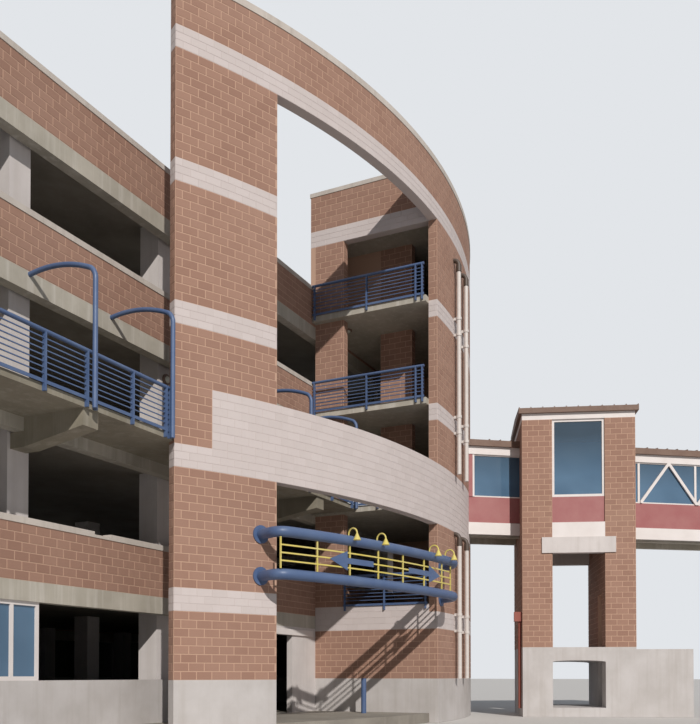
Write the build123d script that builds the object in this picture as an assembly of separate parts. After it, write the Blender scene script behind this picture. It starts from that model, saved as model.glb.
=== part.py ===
from build123d import *
import math
import os

# Multi storey car park: a four level parking wing, a curved masonry screen
# round the entrance court, a stair tower behind it and a covered footbridge.
# Millimetres, +Z up. The origin is on the ground at the corner where the
# plane of the wing's long front (Y = 0) meets the stair tower's face (X = 0).

# Masonry module
course = 203.2
joint_clearance = 0.3

# Heights
base_height = 7 * course
ground_slab = 1.5 * course
first_floor = base_height + 12 * course
storey = 3350
deck_levels = 4
deck_thickness = 250

# Parking wing in plan
bay = 5100
bay_count = 6
first_column_x = -23150
wing_depth = 15500
end_margin = 600
wall_thickness = 200
beam_thickness = 300
column_size = 600
column_setback = 400
column_rows = 3

# Spandrels of the wing: concrete beam, block courses, coping
beam_drop = 730
beam_height = 435
spandrel_courses = 6
coping_height = 140
coping_overhang = 25
coping_gap_start = -11000
coping_gap_length = 560

# Curved screen
screen_centre_y = 16145
screen_radius = 20645
screen_thickness = 300
screen_start = -29.83
jamb_start = -21.85
screen_end = 21.5
upper_mid_start = -27.1
band_height = 553
first_band = 8
field_courses = 14
top_field_courses = 13
parapet_courses = 6
screen_coping = 180
mid_band_courses = 7

# Stair tower
tower_depth = 7200
tower_wall = 300
tower_side_y = 180
tower_slab = 200
tower_slab_nose = 250
tower_pilaster = 1280
inner_wall_x = 1800
inner_pier_start = -1680
inner_pier_width = 1200
inner_panel_start = -210
tower_roof_thickness = 250

# Entrance door in the last bay of the wing
door_start = -2700
door_width = 1100
door_height = 2550
corner_column_width = 1100
sign_strip_height = 190
sign_strip_length = 2450
sign_strip_depth = 60

# Ground floor windows
window_bays = 2
window_pane = 728
frame_bar = 90
frame_depth = 100
glass_thickness = 20
window_setback = 60

# Balcony along the wing
balcony_depth = 1700
balcony_slab = 150
bracket_length = 1650
bracket_width = 450
bracket_height = 630
bracket_nose = 360

# Railings
guard_height = 1065
rail_radius = 45
pipe_radius = 55
bar_count = 7
bar_size = 22
rail_post = 60
rail_post_thickness = 40
rail_depth = 90
kick_height = 70
kick_thickness = 20
bar_first = 190
bar_step = 115
hoop_last = -10440
hoop_step = 2600
hoop_count = 6
post_beside_hoop = 130
hoop_height = 1620
hoop_rise = 345
hoop_dip = 50
hoop_bend = 130
court_hoops = (-3700, -550)

# Entrance sign
sign_standoff = 800
sign_radius = 135
sign_bend = 300
sign_upper = 17.9 * course
sign_lower = 12.75 * course
sign_start = -23.25
sign_finish = 0.8
sign_turn = -2.6
flange_radius = 230
flange_thickness = 40
grille_bars = 3
grille_bar = 36
grille_posts = 7
grille_start = -23.15
grille_step = 3.13
lamp_angles = (-17.0, -13.9, -6.6, -3.7)
lamp_pipe = 22
lamp_rise = 20
lamp_reach = 300
lamp_shade_radius = 105
lamp_shade_height = 170

# Pair of white pipes on the screen
pipe_angles = (5.1, 8.4)
white_pipe_radius = 75
pipe_standoff = 110
collar_height = 90
collar_radius = 95
elbow_drop = 300
upper_elbow_courses = 2.6

# Footbridge
bridge_floor = first_floor + storey
bridge_tower_x = 5195
bridge_tower_y = -5890
bridge_tower_turn = -70.2
bridge_tower_width = 4080
bridge_tower_depth = 4000
bridge_pier = 1090
bridge_base_height = 2560
bridge_base_sill = 340
bridge_base_head = 2020
side_gap_start = 830
side_gap_width = 860
side_gap_head = 4570
lintel_bottom = 6030
lintel_height = 580
lintel_width = 2660
lintel_proud = 60
bridge_beam_bottom = 6610
bridge_beam_height = 550
panel_height = 950
panel_thickness = 80
panel_setback = 60
window_head = 10980
tower_fascia_height = 230
tower_eave = 120
tower_roof_edge = 190
tower_roof_rise = 330

walk_x = 5440
walk_y = -4550
walk_turn = -53
walk_width = 2400
walk_start = -1600
walk_span = 6250
truss_bays = 3
truss_bay = 2450
walk_beam_bottom = 6860
walk_beam_height = 450
walk_girder_drop = 60
walk_girder_inset = 250
walk_girder_width = 250
walk_panel_top = 8290
walk_head = 9900
walk_fascia_top = 10200
walk_roof_edge = 230
walk_roof_rise = 330
walk_eave = 120
truss_bar = 110
low_wall_length = 2000
low_wall_thickness = 300
low_wall_height = 2480
downpipe_radius = 60
downpipe_standoff = 25
hopper_size = 290
hopper_height = 350
hopper_top = 3880
bollard_x = -1000
bollard_y = -2320
bollard_radius = 85
bollard_height = 1130

# Worked out from the sizes above
column_centres = [first_column_x + i * bay for i in range(bay_count + 1)]
wing_start = column_centres[0] - end_margin
wing_end = column_centres[-1] + end_margin
band_pitch = field_courses * course + band_height
band_bottoms = [base_height + first_band * course + i * band_pitch for i in range(4)]
top_band = band_bottoms[-1] + band_height + top_field_courses * course
top_field = top_band + band_height
wall_top = top_field + parapet_courses * course
mid_band_top = band_bottoms[1] + band_height + mid_band_courses * course
inner_radius = screen_radius - screen_thickness
floors = [first_floor + i * storey for i in range(deck_levels)]
spandrel_levels = [0, 2, 3]
beam_tops = [floors[i] - beam_drop + beam_height for i in spandrel_levels]
wall_tops = [z + spandrel_courses * course for z in beam_tops]
balcony_edge = -balcony_depth
wing_hoops = [hoop_last - i * hoop_step for i in range(hoop_count)]


def block(x0, x1, y0, y1, z0, z1):
    """Box between two corners."""
    return Pos((x0 + x1) / 2, (y0 + y1) / 2, (z0 + z1) / 2) * Box(x1 - x0, y1 - y0, z1 - z0)


def screen_point(angle, radius, height=0.0):
    """Point on a circle about the screen's centre; 0 degrees faces -Y, positive towards +X."""
    turn = math.radians(angle)
    return Vector(radius * math.sin(turn), screen_centre_y - radius * math.cos(turn), height)


def arc_wall(start, end, bottom, top, inner=inner_radius, outer=screen_radius):
    """Upright wall between two circles about the screen's centre."""
    outside = CenterArc((0, 0), outer, start - 90, end - start)
    inside = CenterArc((0, 0), inner, start - 90, end - start)
    outline = outside + inside + Line(outside @ 0, inside @ 0) + Line(outside @ 1, inside @ 1)
    wall = extrude(make_face(outline), amount=top - bottom, dir=(0, 0, 1))
    return Pos(0, screen_centre_y, bottom) * wall


def tube(start, end, radius):
    """Round bar between two points."""
    path = Line(start, end)
    return sweep(Plane(origin=start, z_dir=path % 0) * Circle(radius), path=path)


def square_bar(start, end, width, height):
    """Bar of rectangular section between two points at one height."""
    run = Vector(*end) - Vector(*start)
    turn = math.degrees(math.atan2(run.Y, run.X))
    middle = (Vector(*start) + Vector(*end)) * 0.5
    return Pos(*middle) * Rot(0, 0, turn) * Box(run.length, width, height)


def save(name, solids):
    """Write one node's solids to its STEP file."""
    shape = solids[0] if len(solids) == 1 else Compound(children=list(solids))
    export_step(shape, f"parts/{name}.step")


def ring_of_walls(inset, thickness, bottom, top, front_depth=0):
    """Front, back and end strips round the wing; the ends butt against the long sides."""
    x0 = wing_start + inset
    x1 = wing_end - inset
    y0 = inset
    y1 = wing_depth - inset
    end_from = max(y0 + thickness, front_depth)
    return {
        "front": block(x0, x1, y0, y0 + thickness, bottom, top),
        "back": block(x0, x1, y1 - thickness, y1, bottom, top),
        "left": block(x0, x0 + thickness, end_from, y1 - thickness, bottom, top),
        "right": block(x1 - thickness, x1, end_from, y1 - thickness, bottom, top),
    }


os.makedirs("parts", exist_ok=True)


# Ground slabs: under the wing, and under the court and stair tower
def make_slabs():
    inside = beam_thickness
    wing_slab = block(wing_start + inside, wing_end - inside, inside, wing_depth - inside, 0, ground_slab)
    left = screen_point(screen_start, inner_radius).X
    court = block(left, tower_depth - tower_wall, screen_centre_y - inner_radius, 0, 0, ground_slab)
    disc = Pos(0, screen_centre_y, ground_slab / 2) * Cylinder(inner_radius, ground_slab)
    front_wall = block(0, tower_wall, -screen_centre_y, 0, 0, ground_slab)
    save("ground_slabs", [wing_slab] + [s for s in ((court & disc) - front_wall).solids()])
    decks = []
    for z in floors:
        decks.append(block(wing_start + inside, wing_end - inside, inside, wing_depth - inside,
                           z - deck_thickness, z))
    save("decks", decks)


# Columns of the wing, one length for each storey
def make_columns():
    half = column_size / 2
    span = wing_depth - 2 * (column_setback + half)
    rows = [column_setback + half + j * span / (column_rows - 1) for j in range(column_rows)]
    bottoms = [ground_slab] + floors[:-1]
    lengths = []
    for low, high in zip(bottoms, floors):
        for x in column_centres:
            for y in rows:
                lengths.append(block(x - half, x + half, y - half, y + half, low, high - deck_thickness))
    save("columns", lengths)


# Concrete base of the wing, open at the entrance door
def make_base():
    walls = ring_of_walls(0, beam_thickness, 0, base_height)
    past = block(door_start, 0, 0, beam_thickness, 0, base_height)
    front = walls["front"] - past
    save("front_base_wall", [s for s in front.solids()])
    save("rear_base_walls", [walls["back"], walls["left"], walls["right"]])
    column = block(-corner_column_width, 0, 0, beam_thickness, 0, first_floor - beam_drop)
    save("corner_column", [column])


# Block wall and bare sign strip over the entrance door
def make_entrance():
    head = ground_slab + door_height
    under_beam = floors[0] - beam_drop
    door_end = door_start + door_width
    over = block(door_start, -corner_column_width, 0, wall_thickness, head, under_beam)
    side = block(door_end, -corner_column_width, 0, wall_thickness, 0, head)
    jamb_end = door_start - column_size
    jamb = block(jamb_end, door_start, 0, wall_thickness, base_height, under_beam)
    save("entrance_wall", [over + side + jamb])
    strip_end = door_start + sign_strip_length
    strip = block(door_start, strip_end, -sign_strip_depth, 0, head, head + sign_strip_height)
    save("entrance_strip", [strip])


# Spandrels round the wing: beams, block walls and copings
def make_spandrels():
    beams, walls, copings = [], [], []
    rear_beams, rear_walls, rear_copings = [], [], []
    gap_end = coping_gap_start + coping_gap_length
    for level, beam_top, wall_top_z in zip(spandrel_levels, beam_tops, wall_tops):
        ring = ring_of_walls(0, beam_thickness, beam_top - beam_height, beam_top)
        beams.append(ring["front"])
        rear_beams += [ring["back"], ring["left"], ring["right"]]
        ring = ring_of_walls(0, wall_thickness, beam_top, wall_top_z)
        walls.append(ring["front"])
        rear_walls += [ring["back"], ring["left"], ring["right"]]
        cap = ring_of_walls(-coping_overhang, wall_thickness + 2 * coping_overhang,
                            wall_top_z, wall_top_z + coping_height)
        beside_tower = block(0, tower_depth, -wing_depth, 0, wall_top_z, wall_top_z + coping_height)
        front_cap = cap["front"] - beside_tower
        if level == 0:
            chip = block(coping_gap_start, gap_end, -wing_depth, wing_depth,
                         wall_top_z + coping_height / 2, wall_top_z + 2 * coping_height)
            front_cap = front_cap - chip
        copings.append(front_cap)
        rear_copings += [cap["back"], cap["left"], cap["right"]]
    edge = ring_of_walls(0, beam_thickness, floors[1] - beam_height, floors[1])
    beams.append(edge["front"])
    ring = ring_of_walls(0, beam_thickness, floors[1] - beam_drop, floors[1] - beam_drop + beam_height)
    rear_beams += [ring["back"], ring["left"], ring["right"]]
    low = floors[1] - beam_drop + beam_height
    high = low + spandrel_courses * course
    ring = ring_of_walls(0, wall_thickness, low, high, beam_thickness)
    rear_walls += [ring["back"], ring["left"], ring["right"]]
    cap = ring_of_walls(-coping_overhang, wall_thickness + 2 * coping_overhang,
                        high, high + coping_height, beam_thickness)
    rear_copings += [cap["back"], cap["left"], cap["right"]]
    save("front_beams", beams)
    save("front_block_walls", walls)
    save("front_copings", copings)
    save("rear_beams", rear_beams)
    save("rear_block_walls", rear_walls)
    save("rear_copings", rear_copings)


# Fixed windows that close the ground storey of the bays away from the court
def make_windows():
    head = floors[0] - beam_drop
    bars = []
    sheets = []
    for i in range(window_bays):
        x0 = column_centres[i] + column_size / 2
        x1 = column_centres[i + 1] + column_size / 2
        y0 = window_setback
        y1 = window_setback + frame_depth
        outer = block(x0, x1, y0, y1, base_height, head)
        count = round((x1 - x0 - frame_bar) / window_pane)
        step = (x1 - x0 - frame_bar) / count
        frame = outer
        for k in range(count):
            left = x0 + frame_bar + k * step
            frame -= block(left, left + step - frame_bar, y0, y1, base_height + frame_bar, head - frame_bar)
            middle = (y0 + y1) / 2
            half = glass_thickness / 2
            sheets.append(block(left, left + step - frame_bar, middle - half, middle + half,
                                base_height + frame_bar, head - frame_bar))
        bars.append(frame)
    save("window_frames", bars)
    save("window_glass", sheets)


# Curved screen: base, block fields, pale bands, and the wall over the opening
def make_screen():
    base = [arc_wall(screen_start, jamb_start, 0, base_height), arc_wall(0, screen_end, 0, base_height)]
    save("screen_base", base)
    fields = [(base_height, band_bottoms[0])]
    for low, high in zip(band_bottoms, band_bottoms[1:] + [top_band]):
        fields.append((low + band_height, high))
    left_fields = []
    right_fields = []
    doorway = walk_frame() * block(walk_start - walk_width, walk_span, panel_thickness,
                                   walk_width - panel_thickness, bridge_floor, walk_head)
    for low, high in fields:
        if low > band_bottoms[1] and high < band_bottoms[2] + 1:
            left_fields.append(arc_wall(screen_start, upper_mid_start, low, mid_band_top))
            left_fields.append(arc_wall(screen_start, jamb_start, mid_band_top, high))
            right_fields.append(arc_wall(0, screen_end, mid_band_top, high) - doorway)
        else:
            left_fields.append(arc_wall(screen_start, jamb_start, low, high))
            right_fields.append(arc_wall(0, screen_end, low, high))
    joined = left_fields[2] + left_fields[3]
    left_fields = left_fields[:2] + [joined] + left_fields[4:]
    save("screen_left_blocks", left_fields)
    save("screen_right_blocks", right_fields)
    bands = []
    for i in (0, 2, 3):
        bands.append(arc_wall(screen_start, jamb_start, band_bottoms[i], band_bottoms[i] + band_height))
        bands.append(arc_wall(0, screen_end, band_bottoms[i], band_bottoms[i] + band_height))
    save("screen_bands", bands)
    lower = arc_wall(screen_start, screen_end, band_bottoms[1], band_bottoms[1] + band_height)
    upper = arc_wall(upper_mid_start, screen_end, band_bottoms[1] + band_height, mid_band_top)
    save("screen_mid_band", [lower + upper - doorway])
    save("screen_top_band", [arc_wall(screen_start, screen_end, top_band, top_field)])
    save("screen_parapet", [arc_wall(screen_start, screen_end, top_field, wall_top)])
    cap = arc_wall(screen_start, screen_end, wall_top, wall_top + screen_coping,
                   inner_radius - coping_overhang, screen_radius + coping_overhang)
    save("screen_coping", [cap])


# Pair of white pipes held to the screen by collars, above and below the wide band
def make_white_pipes():
    radius = screen_radius + pipe_standoff + white_pipe_radius
    spans = [(base_height, band_bottoms[1]), (mid_band_top, top_band - upper_elbow_courses * course)]
    reach = pipe_standoff + white_pipe_radius
    pipes = []
    marks = [band_bottoms[0], band_bottoms[0] + band_height, band_bottoms[2],
             band_bottoms[2] + band_height, band_bottoms[3], band_bottoms[3] + band_height]
    for angle in pipe_angles:
        for low, high in spans:
            foot = screen_point(angle, radius, low)
            bend = screen_point(angle, radius, high - reach - white_pipe_radius)
            wall = screen_point(angle, screen_radius, high - white_pipe_radius)
            stem = Line(foot, bend)
            path = stem + TangentArc(bend, wall, tangent=stem % 1)
            pipe = sweep(Plane(origin=foot, z_dir=stem % 0) * Circle(white_pipe_radius), path=path)
            sleeve = screen_point(angle, radius, (bend.Z + high - reach - elbow_drop) / 2)
            pipe += Pos(*sleeve) * Cylinder(collar_radius, bend.Z - (high - reach - elbow_drop))
            for z in marks:
                if low < z < high:
                    collar = Pos(foot.X, foot.Y, z) * Cylinder(collar_radius, collar_height)
                    arm = Pos(foot.X, foot.Y, z) * Rot(0, 0, angle) * block(
                        -lamp_pipe, lamp_pipe, 0, reach,
                        -collar_height / 2, collar_height / 2)
                    pipe += collar + arm
            pipes.append(pipe)
    screen = Pos(0, screen_centre_y, 0) * Cylinder(screen_radius + joint_clearance, 4 * wall_top)
    save("white_pipes", [pipe - screen for pipe in pipes])


def within_screen(shape, inset=0.0):
    """Keep what lies inside the screen's inner face."""
    return shape & (Pos(0, screen_centre_y, 0) * Cylinder(inner_radius - inset, 4 * wall_top))


# Stair tower: walls, pilaster, piers, slabs, roof and copings
def make_tower():
    floor_1 = floors[0]
    front_y = screen_centre_y - screen_radius
    band = band_bottoms[0]
    base = within_screen(block(0, tower_wall, front_y, 0, 0, base_height))
    save("tower_base", [base])
    ground = within_screen(block(0, tower_wall, front_y, 0, base_height, band))
    pilaster_y = tower_side_y - tower_pilaster
    pilaster = block(0, tower_wall, pilaster_y, 0, floor_1, top_band)
    upper = block(0, tower_wall, pilaster_y, tower_side_y, floors[-1] + guard_height, top_band)
    for z in floors[1:]:
        pilaster = pilaster - block(0, tower_wall, pilaster_y, 0, z - tower_slab, z)
    crown = within_screen(block(0, tower_wall, front_y, tower_side_y, top_field, wall_top))
    save("tower_front_blocks", [ground, crown] + [s for s in (pilaster + upper).solids()])
    belt = within_screen(block(0, tower_wall, front_y, 0, band, floor_1))
    head = within_screen(block(0, tower_wall, front_y, tower_side_y, top_band, top_field))
    save("tower_front_bands", [belt, head])
    side = block(tower_wall, tower_depth, tower_side_y - tower_wall, tower_side_y,
                 floors[-1] + guard_height, wall_top)
    lower_side = block(tower_wall, tower_depth - tower_wall, -tower_wall, 0,
                       ground_slab, floors[0] - tower_slab)
    save("tower_side_walls", [side, lower_side])
    low_back = within_screen(block(tower_depth - tower_wall, tower_depth, front_y, 0, 0, floors[-1]))
    high_back = within_screen(block(tower_depth - tower_wall, tower_depth, front_y,
                                    tower_side_y - tower_wall, floors[-1], wall_top))
    save("tower_rear_wall", [low_back + high_back])
    slabs = []
    for i, z in enumerate(floors):
        nose = 0 if i == 0 else tower_slab_nose
        start = tower_wall if i == 0 else -nose
        slab = within_screen(block(start, tower_depth - tower_wall, front_y, 0, z - tower_slab, z))
        slabs.append(slab)
    roof = within_screen(block(tower_wall, tower_depth - tower_wall, front_y, tower_side_y - tower_wall,
                               top_field - tower_roof_thickness, top_field))
    save("tower_slabs", slabs + [roof])
    piers = []
    tops = floors[2:] + [top_field - tower_roof_thickness + tower_slab]
    for low, high in zip(floors[1:], tops):
        y1 = inner_pier_start
        piers.append(block(inner_wall_x, inner_wall_x + tower_wall, y1 - inner_pier_width, y1,
                           low, high - tower_slab))
    panel = block(inner_wall_x, inner_wall_x + tower_wall, inner_pier_start, inner_panel_start,
                  floors[3], tops[-1] - tower_slab)
    piers[-1] = piers[-1] + panel
    save("tower_inner_piers", piers)
    cap_top = wall_top + coping_height
    cap = within_screen(block(-coping_overhang, tower_wall + coping_overhang, front_y,
                              tower_side_y + coping_overhang, wall_top, cap_top), coping_overhang)
    side_cap = block(tower_wall + coping_overhang, tower_depth + coping_overhang,
                     tower_side_y - tower_wall - coping_overhang, tower_side_y + coping_overhang,
                     wall_top, cap_top)
    rear_cap = within_screen(block(tower_depth - tower_wall - coping_overhang,
                                   tower_depth + coping_overhang, front_y,
                                   tower_side_y - tower_wall - coping_overhang,
                                   wall_top, cap_top), coping_overhang)
    save("tower_copings", [cap, side_cap + rear_cap])


# Balcony slab along the front, with the brackets under it
def make_balcony():
    z = floors[1]
    slab = block(wing_start, -tower_slab_nose, balcony_edge, 0, z - balcony_slab, z)
    ring = arc_wall(screen_start, jamb_start, 0, wall_top)
    slab = slab - ring
    save("balcony_slab", [s for s in slab.solids()])
    profile = Polyline((0, 0), (-bracket_length, 0), (-bracket_length, -bracket_nose),
                       (0, -bracket_height), (column_setback, -bracket_height),
                       (column_setback, balcony_slab - beam_height),
                       (0, balcony_slab - beam_height), close=True)
    brackets = []
    under = z - balcony_slab
    for x in column_centres[:-2]:
        if screen_point(screen_start, inner_radius).X < x < screen_point(jamb_start, inner_radius).X:
            continue
        face = make_face(profile)
        plate = extrude(Plane.YZ * face, amount=bracket_width / 2, both=True)
        brackets.append(Pos(x, 0, under) * plate)
    save("balcony_brackets", brackets)


def guard(start, end, floor, posts):
    """Railing in a straight line: kick plate, thin bars, flat posts and a round top rail."""
    z_top = floor + guard_height - rail_radius
    shape = square_bar((*start, floor + kick_height / 2), (*end, floor + kick_height / 2),
                       kick_thickness, kick_height)
    for k in range(bar_count):
        z = floor + bar_first + k * bar_step
        if z < z_top - rail_radius:
            shape += square_bar((*start, z), (*end, z), bar_size, bar_size)
    a = Vector(*start, 0)
    b = Vector(*end, 0)
    run = b - a
    turn = math.degrees(math.atan2(run.Y, run.X))
    for share in posts:
        p = a + run * share
        post = Pos(p.X, p.Y, (floor - balcony_slab + z_top) / 2) * Rot(0, 0, turn) * Box(
            rail_post_thickness, rail_depth, z_top - floor + balcony_slab)
        shape += post
    return shape + tube(Vector(*start, z_top), Vector(*end, z_top), rail_radius)


def straight_guard(x0, x1, y, floor, posts):
    """Railing parallel to the wing, its posts given by their X."""
    return guard((x0, y), (x1, y), floor, [(x - x0) / (x1 - x0) for x in posts])


# Blue railing of the balcony, in two lengths that stop at the screen
def make_balcony_railing():
    z = floors[1]
    line_y = balcony_edge - rail_depth / 2
    clear = joint_clearance + rail_radius
    stop_left = hoop_last + pipe_radius
    inner = inner_radius - clear
    stop_right = -math.sqrt(inner ** 2 - (screen_centre_y - line_y) ** 2)
    left_start = wing_start + rail_post
    left_posts = [stop_left - rail_post_thickness]
    for x in wing_hoops:
        left_posts += [x - post_beside_hoop, x - hoop_step / 2]
    left_posts += [x + post_beside_hoop for x in wing_hoops[1:]]
    left_posts = [x for x in left_posts if x > left_start]
    outside = straight_guard(left_start, stop_left, line_y, z, left_posts)
    court_end = -tower_slab_nose
    court_posts = [(court_hoops[0] + court_hoops[1]) / 2]
    for x in court_hoops:
        court_posts += [x - post_beside_hoop, x + post_beside_hoop]
    x = court_hoops[0] - hoop_step / 2
    while x > stop_right:
        court_posts.append(x)
        x -= hoop_step / 2
    court = straight_guard(stop_right, court_end, line_y, z, court_posts)
    save("balcony_railing", [outside, court])


def hoop(x):
    """Pipe post from the balcony's edge that bends back over it to the beam above."""
    foot_z = floors[1] - balcony_slab
    post_y = balcony_edge - rail_depth - pipe_radius
    top_z = floors[1] + guard_height + hoop_height
    straight = Line((x, post_y, foot_z), (x, post_y, top_z - hoop_bend))
    wall_end = (x, pipe_radius, top_z + hoop_rise - hoop_dip)
    crown = (x, post_y * 0.45, top_z + hoop_rise)
    shoulder = (x, post_y + hoop_bend, top_z + hoop_rise / 3)
    bend = TangentArc(straight @ 1, shoulder, tangent=straight % 1)
    over = ThreePointArc(shoulder, crown, wall_end)
    path = straight + bend + over
    pipe = sweep(Plane(origin=straight @ 0, z_dir=straight % 0) * Circle(pipe_radius), path=path)
    return pipe - block(x - bay, x + bay, 0, beam_thickness, 0, wall_top)


def make_hoops():
    save("balcony_hoops", [hoop(x) for x in wing_hoops + list(court_hoops)])


# Blue railings on the stair tower's open levels
def make_tower_railings():
    line_x = -tower_slab_nose - rail_depth / 2
    rails = []
    end_y = -math.sqrt((inner_radius - rail_radius) ** 2 - line_x ** 2) + screen_centre_y
    for level in (2, 3):
        rails.append(guard((line_x, -rail_radius), (line_x, end_y), floors[level],
                           (0.02, 0.5, 0.93, 0.985)))
    first_x = -rail_depth / 2
    first_end = -math.sqrt((inner_radius - rail_radius) ** 2 - first_x ** 2) + screen_centre_y
    start_y = tower_side_y - tower_pilaster
    rails.append(guard((first_x, start_y), (first_x, first_end), floors[0], (0.02, 0.5, 0.98)))
    second_start = balcony_edge - rail_depth - joint_clearance
    rails.append(guard((line_x, second_start), (line_x, end_y), floors[1], (0.3, 0.98)))
    save("tower_railings", rails)


# Entrance sign: two tubes bent back to the piers, with flanges, grille and lamps
def sign_tube(height):
    radius = screen_radius + sign_standoff
    z = base_height + height
    wall_left = screen_point(sign_start, screen_radius - sign_radius, z)
    lean = math.degrees(sign_radius / (2 * radius))
    wall_right = screen_point(sign_finish + lean, screen_radius - sign_radius, z)
    ease = math.degrees(sign_bend / radius)
    leg_left = screen_point(sign_start, radius - sign_bend, z)
    run_left = screen_point(sign_start + ease, radius, z)
    run_right = screen_point(sign_turn, radius, z)
    middle = screen_point((sign_start + sign_turn) / 2, radius, z)
    first = Line(wall_left, leg_left)
    bend_1 = TangentArc(leg_left, run_left, tangent=first % 1)
    main = ThreePointArc(run_left, middle, run_right)
    bend_2 = TangentArc(run_right, wall_right, tangent=main % 1)
    path = first + bend_1 + main + bend_2
    return sweep(Plane(origin=wall_left, z_dir=first % 0) * Circle(sign_radius), path=path)


def make_sign():
    tubes = []
    for height in (sign_lower, sign_upper):
        shape = sign_tube(height)
        for angle in (sign_start, sign_finish):
            near = screen_point(angle, screen_radius - flange_thickness, base_height + height)
            far = screen_point(angle, screen_radius + flange_thickness, base_height + height)
            shape += tube(near, far, flange_radius)
        screen = Pos(0, screen_centre_y, 0) * Cylinder(screen_radius + joint_clearance, 4 * wall_top)
        tubes.append(shape - screen)
    save("sign_tubes", tubes)
    radius = screen_radius + sign_standoff
    low = base_height + sign_lower + sign_radius
    high = base_height + sign_upper - sign_radius
    clear = high - low
    half = grille_bar / 2
    bars = []
    for k in range(grille_bars):
        z = low + clear * (k + 1) / (grille_bars + 1)
        bars.append(arc_wall(grille_start, sign_turn, z - half, z + half, radius - half, radius + half))
    grille = bars[0] + bars[1] + bars[2]
    for angle in [grille_start + i * grille_step for i in range(grille_posts)] + [sign_turn]:
        p = screen_point(angle, radius, (low + high) / 2)
        grille += Pos(*p) * Rot(0, 0, angle) * Box(grille_bar, grille_bar, clear)
    save("sign_grille", [grille])


def gooseneck(angle):
    """Yellow lamp: a bent pipe from the top of the upper tube and a bell shade before it."""
    radius = screen_radius + sign_standoff
    z = base_height + sign_upper + sign_radius
    foot = screen_point(angle, radius, z)
    rise = screen_point(angle, radius, z + lamp_rise)
    over = screen_point(angle, radius + lamp_reach / 2, z + lamp_rise + lamp_reach / 2)
    drop = screen_point(angle, radius + lamp_reach, z + lamp_rise)
    stem = Line(foot, rise)
    crook = ThreePointArc(rise, over, drop)
    path = stem + crook
    pipe = sweep(Plane(origin=foot, z_dir=stem % 0) * Circle(lamp_pipe), path=path)
    top = lamp_pipe * 1.2
    shade = Pos(drop.X, drop.Y, drop.Z - lamp_shade_height / 2) * Cone(
        lamp_shade_radius, top, lamp_shade_height)
    return pipe + shade


def make_lamps():
    save("sign_lamps", [gooseneck(angle) for angle in lamp_angles])


# Footbridge: frames of the tower and of the walkway
def bridge_frame():
    return Pos(bridge_tower_x, bridge_tower_y, 0) * Rot(0, 0, bridge_tower_turn)


def walk_frame():
    return Pos(walk_x, walk_y, 0) * Rot(0, 0, walk_turn)


def tower_envelope(margin=0.0):
    return bridge_frame() * block(-margin, bridge_tower_width + margin, -margin,
                                  bridge_tower_depth + margin, -base_height, 2 * wall_top)


# Bridge tower: concrete base, brick side walls, lintels, panels and roof
def make_bridge_tower():
    frame = bridge_frame()
    w = bridge_tower_width
    d = bridge_tower_depth
    passage = frame * block(bridge_pier, w - bridge_pier, -1, d + 1, bridge_base_sill, bridge_base_head)
    arch = frame * (Pos(w / 2, d / 2, bridge_base_head) * scale(
        Rot(90, 0, 0) * Cylinder((w - 2 * bridge_pier) / 2, d + 2), by=(1, 1, 0.06)))
    side_gap = frame * block(w - bridge_pier - 1, w + 1, side_gap_start, side_gap_start + side_gap_width,
                             bridge_base_sill, side_gap_head)
    base = frame * block(0, w, 0, d, 0, bridge_base_height) - passage - arch - side_gap
    save("bridge_tower_base", [base])
    walkway = walk_frame() * block(walk_start - walk_width, walk_span + 2 * walk_width, panel_thickness,
                                   walk_width - panel_thickness, bridge_floor, walk_head)
    left = frame * block(0, bridge_pier, 0, d, bridge_base_height, window_head) - walkway
    right = frame * block(w - bridge_pier, w, 0, d, bridge_base_height, window_head) - walkway - side_gap
    save("bridge_tower_walls", [left, right])
    inset = (w - lintel_width) / 2
    x0 = bridge_pier
    x1 = w - bridge_pier
    lintels = []
    beams = []
    panels = []
    frames = []
    sheets = []
    for y, out in ((0, -1), (d, 1)):
        into = -out * tower_wall
        ya, yb = sorted((y, y + into))
        body = block(x0, x1, ya, yb, lintel_bottom, lintel_bottom + lintel_height)
        if out < 0:
            body += block(inset, w - inset, -lintel_proud, 0, lintel_bottom, lintel_bottom + lintel_height)
        lintels.append(frame * body)
        top = bridge_beam_bottom + bridge_beam_height
        beams.append(frame * block(x0, x1, ya, yb, bridge_beam_bottom, top))
        sa, sb = sorted((y - out * panel_setback, y - out * (panel_setback + panel_thickness)))
        panel = frame * block(x0, x1, sa, sb, top, top + panel_height)
        sill = top + panel_height
        opening = block(x0 + frame_bar, x1 - frame_bar, sa, sb, sill + frame_bar, window_head - frame_bar)
        bars = frame * (block(x0, x1, sa, sb, sill, window_head) - opening)
        middle = (sa + sb) / 2
        half = glass_thickness / 2
        sheet = frame * block(x0 + frame_bar, x1 - frame_bar, middle - half, middle + half,
                              sill + frame_bar, window_head - frame_bar)
        for group, shape in ((panels, panel), (frames, bars), (sheets, sheet)):
            group += (shape if out < 0 else shape - walkway).solids()
    save("bridge_tower_lintels", lintels)
    floor = frame * block(x0, x1, tower_wall, d - tower_wall, bridge_floor - tower_slab, bridge_floor)
    top = window_head + tower_fascia_height
    fascia = frame * (block(0, w, 0, d, window_head, top) - block(tower_wall, w - tower_wall, tower_wall,
                                                                   d - tower_wall, window_head, top))
    e = tower_eave
    edge = Polyline((-e, top), (-e, top + tower_roof_edge), (d / 2, top + tower_roof_rise),
                    (d + e, top + tower_roof_edge), (d + e, top), close=True)
    gable = extrude(Plane.YZ * make_face(edge), amount=w + 2 * e)
    roof = frame * (Pos(-e, 0, 0) * gable)
    wall = frame * block(w, w + low_wall_length, 0, low_wall_thickness, 0, low_wall_height)
    save("bridge_low_wall", [wall])
    return {"beams": beams, "panels": panels, "frames": frames, "glass": sheets,
            "floors": [floor], "fascias": [fascia], "roofs": [roof]}


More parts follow.
